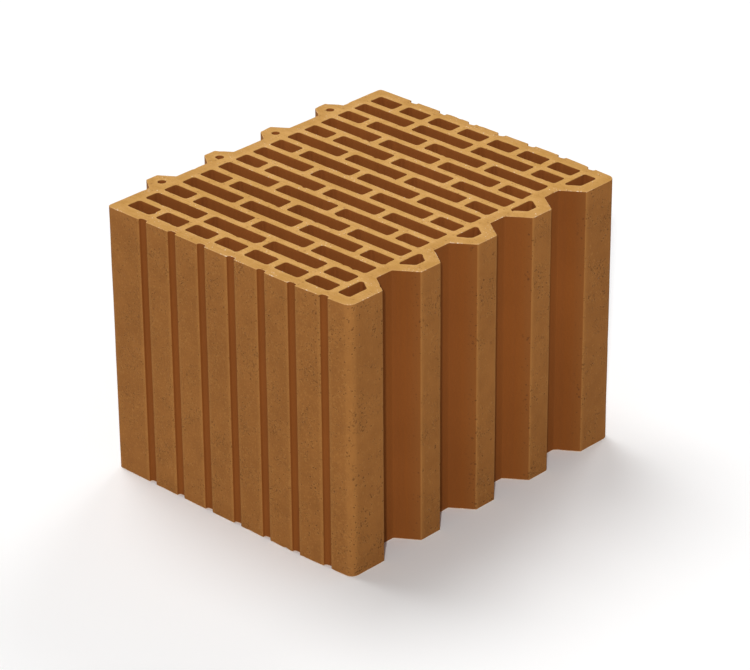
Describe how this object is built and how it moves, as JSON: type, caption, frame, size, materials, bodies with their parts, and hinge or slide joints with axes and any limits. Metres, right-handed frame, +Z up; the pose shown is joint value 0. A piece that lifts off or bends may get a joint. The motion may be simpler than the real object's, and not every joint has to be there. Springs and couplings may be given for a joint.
{
  "type": "perforated clay block",
  "caption": "Hollow clay brick for a thick single-leaf wall, with staggered upright chambers, tongue-and-groove head joints and plaster keys in both wall faces.",
  "frame": {"origin": "middle of the block's outer box in plan, tongues included, on the lower cut face", "axes": "+Z up along the chambers as the block is laid; +X along the wall, from the tongues to the ridges; Y through the wall, from one plaster face to the other"},
  "size_m": [0.2624, 0.3, 0.226],
  "materials": {
    "fired_clay": "matt fired clay"
  },
  "bodies": {
    "root": {"clay_block": "fired_clay"}
  },
  "joints": []
}
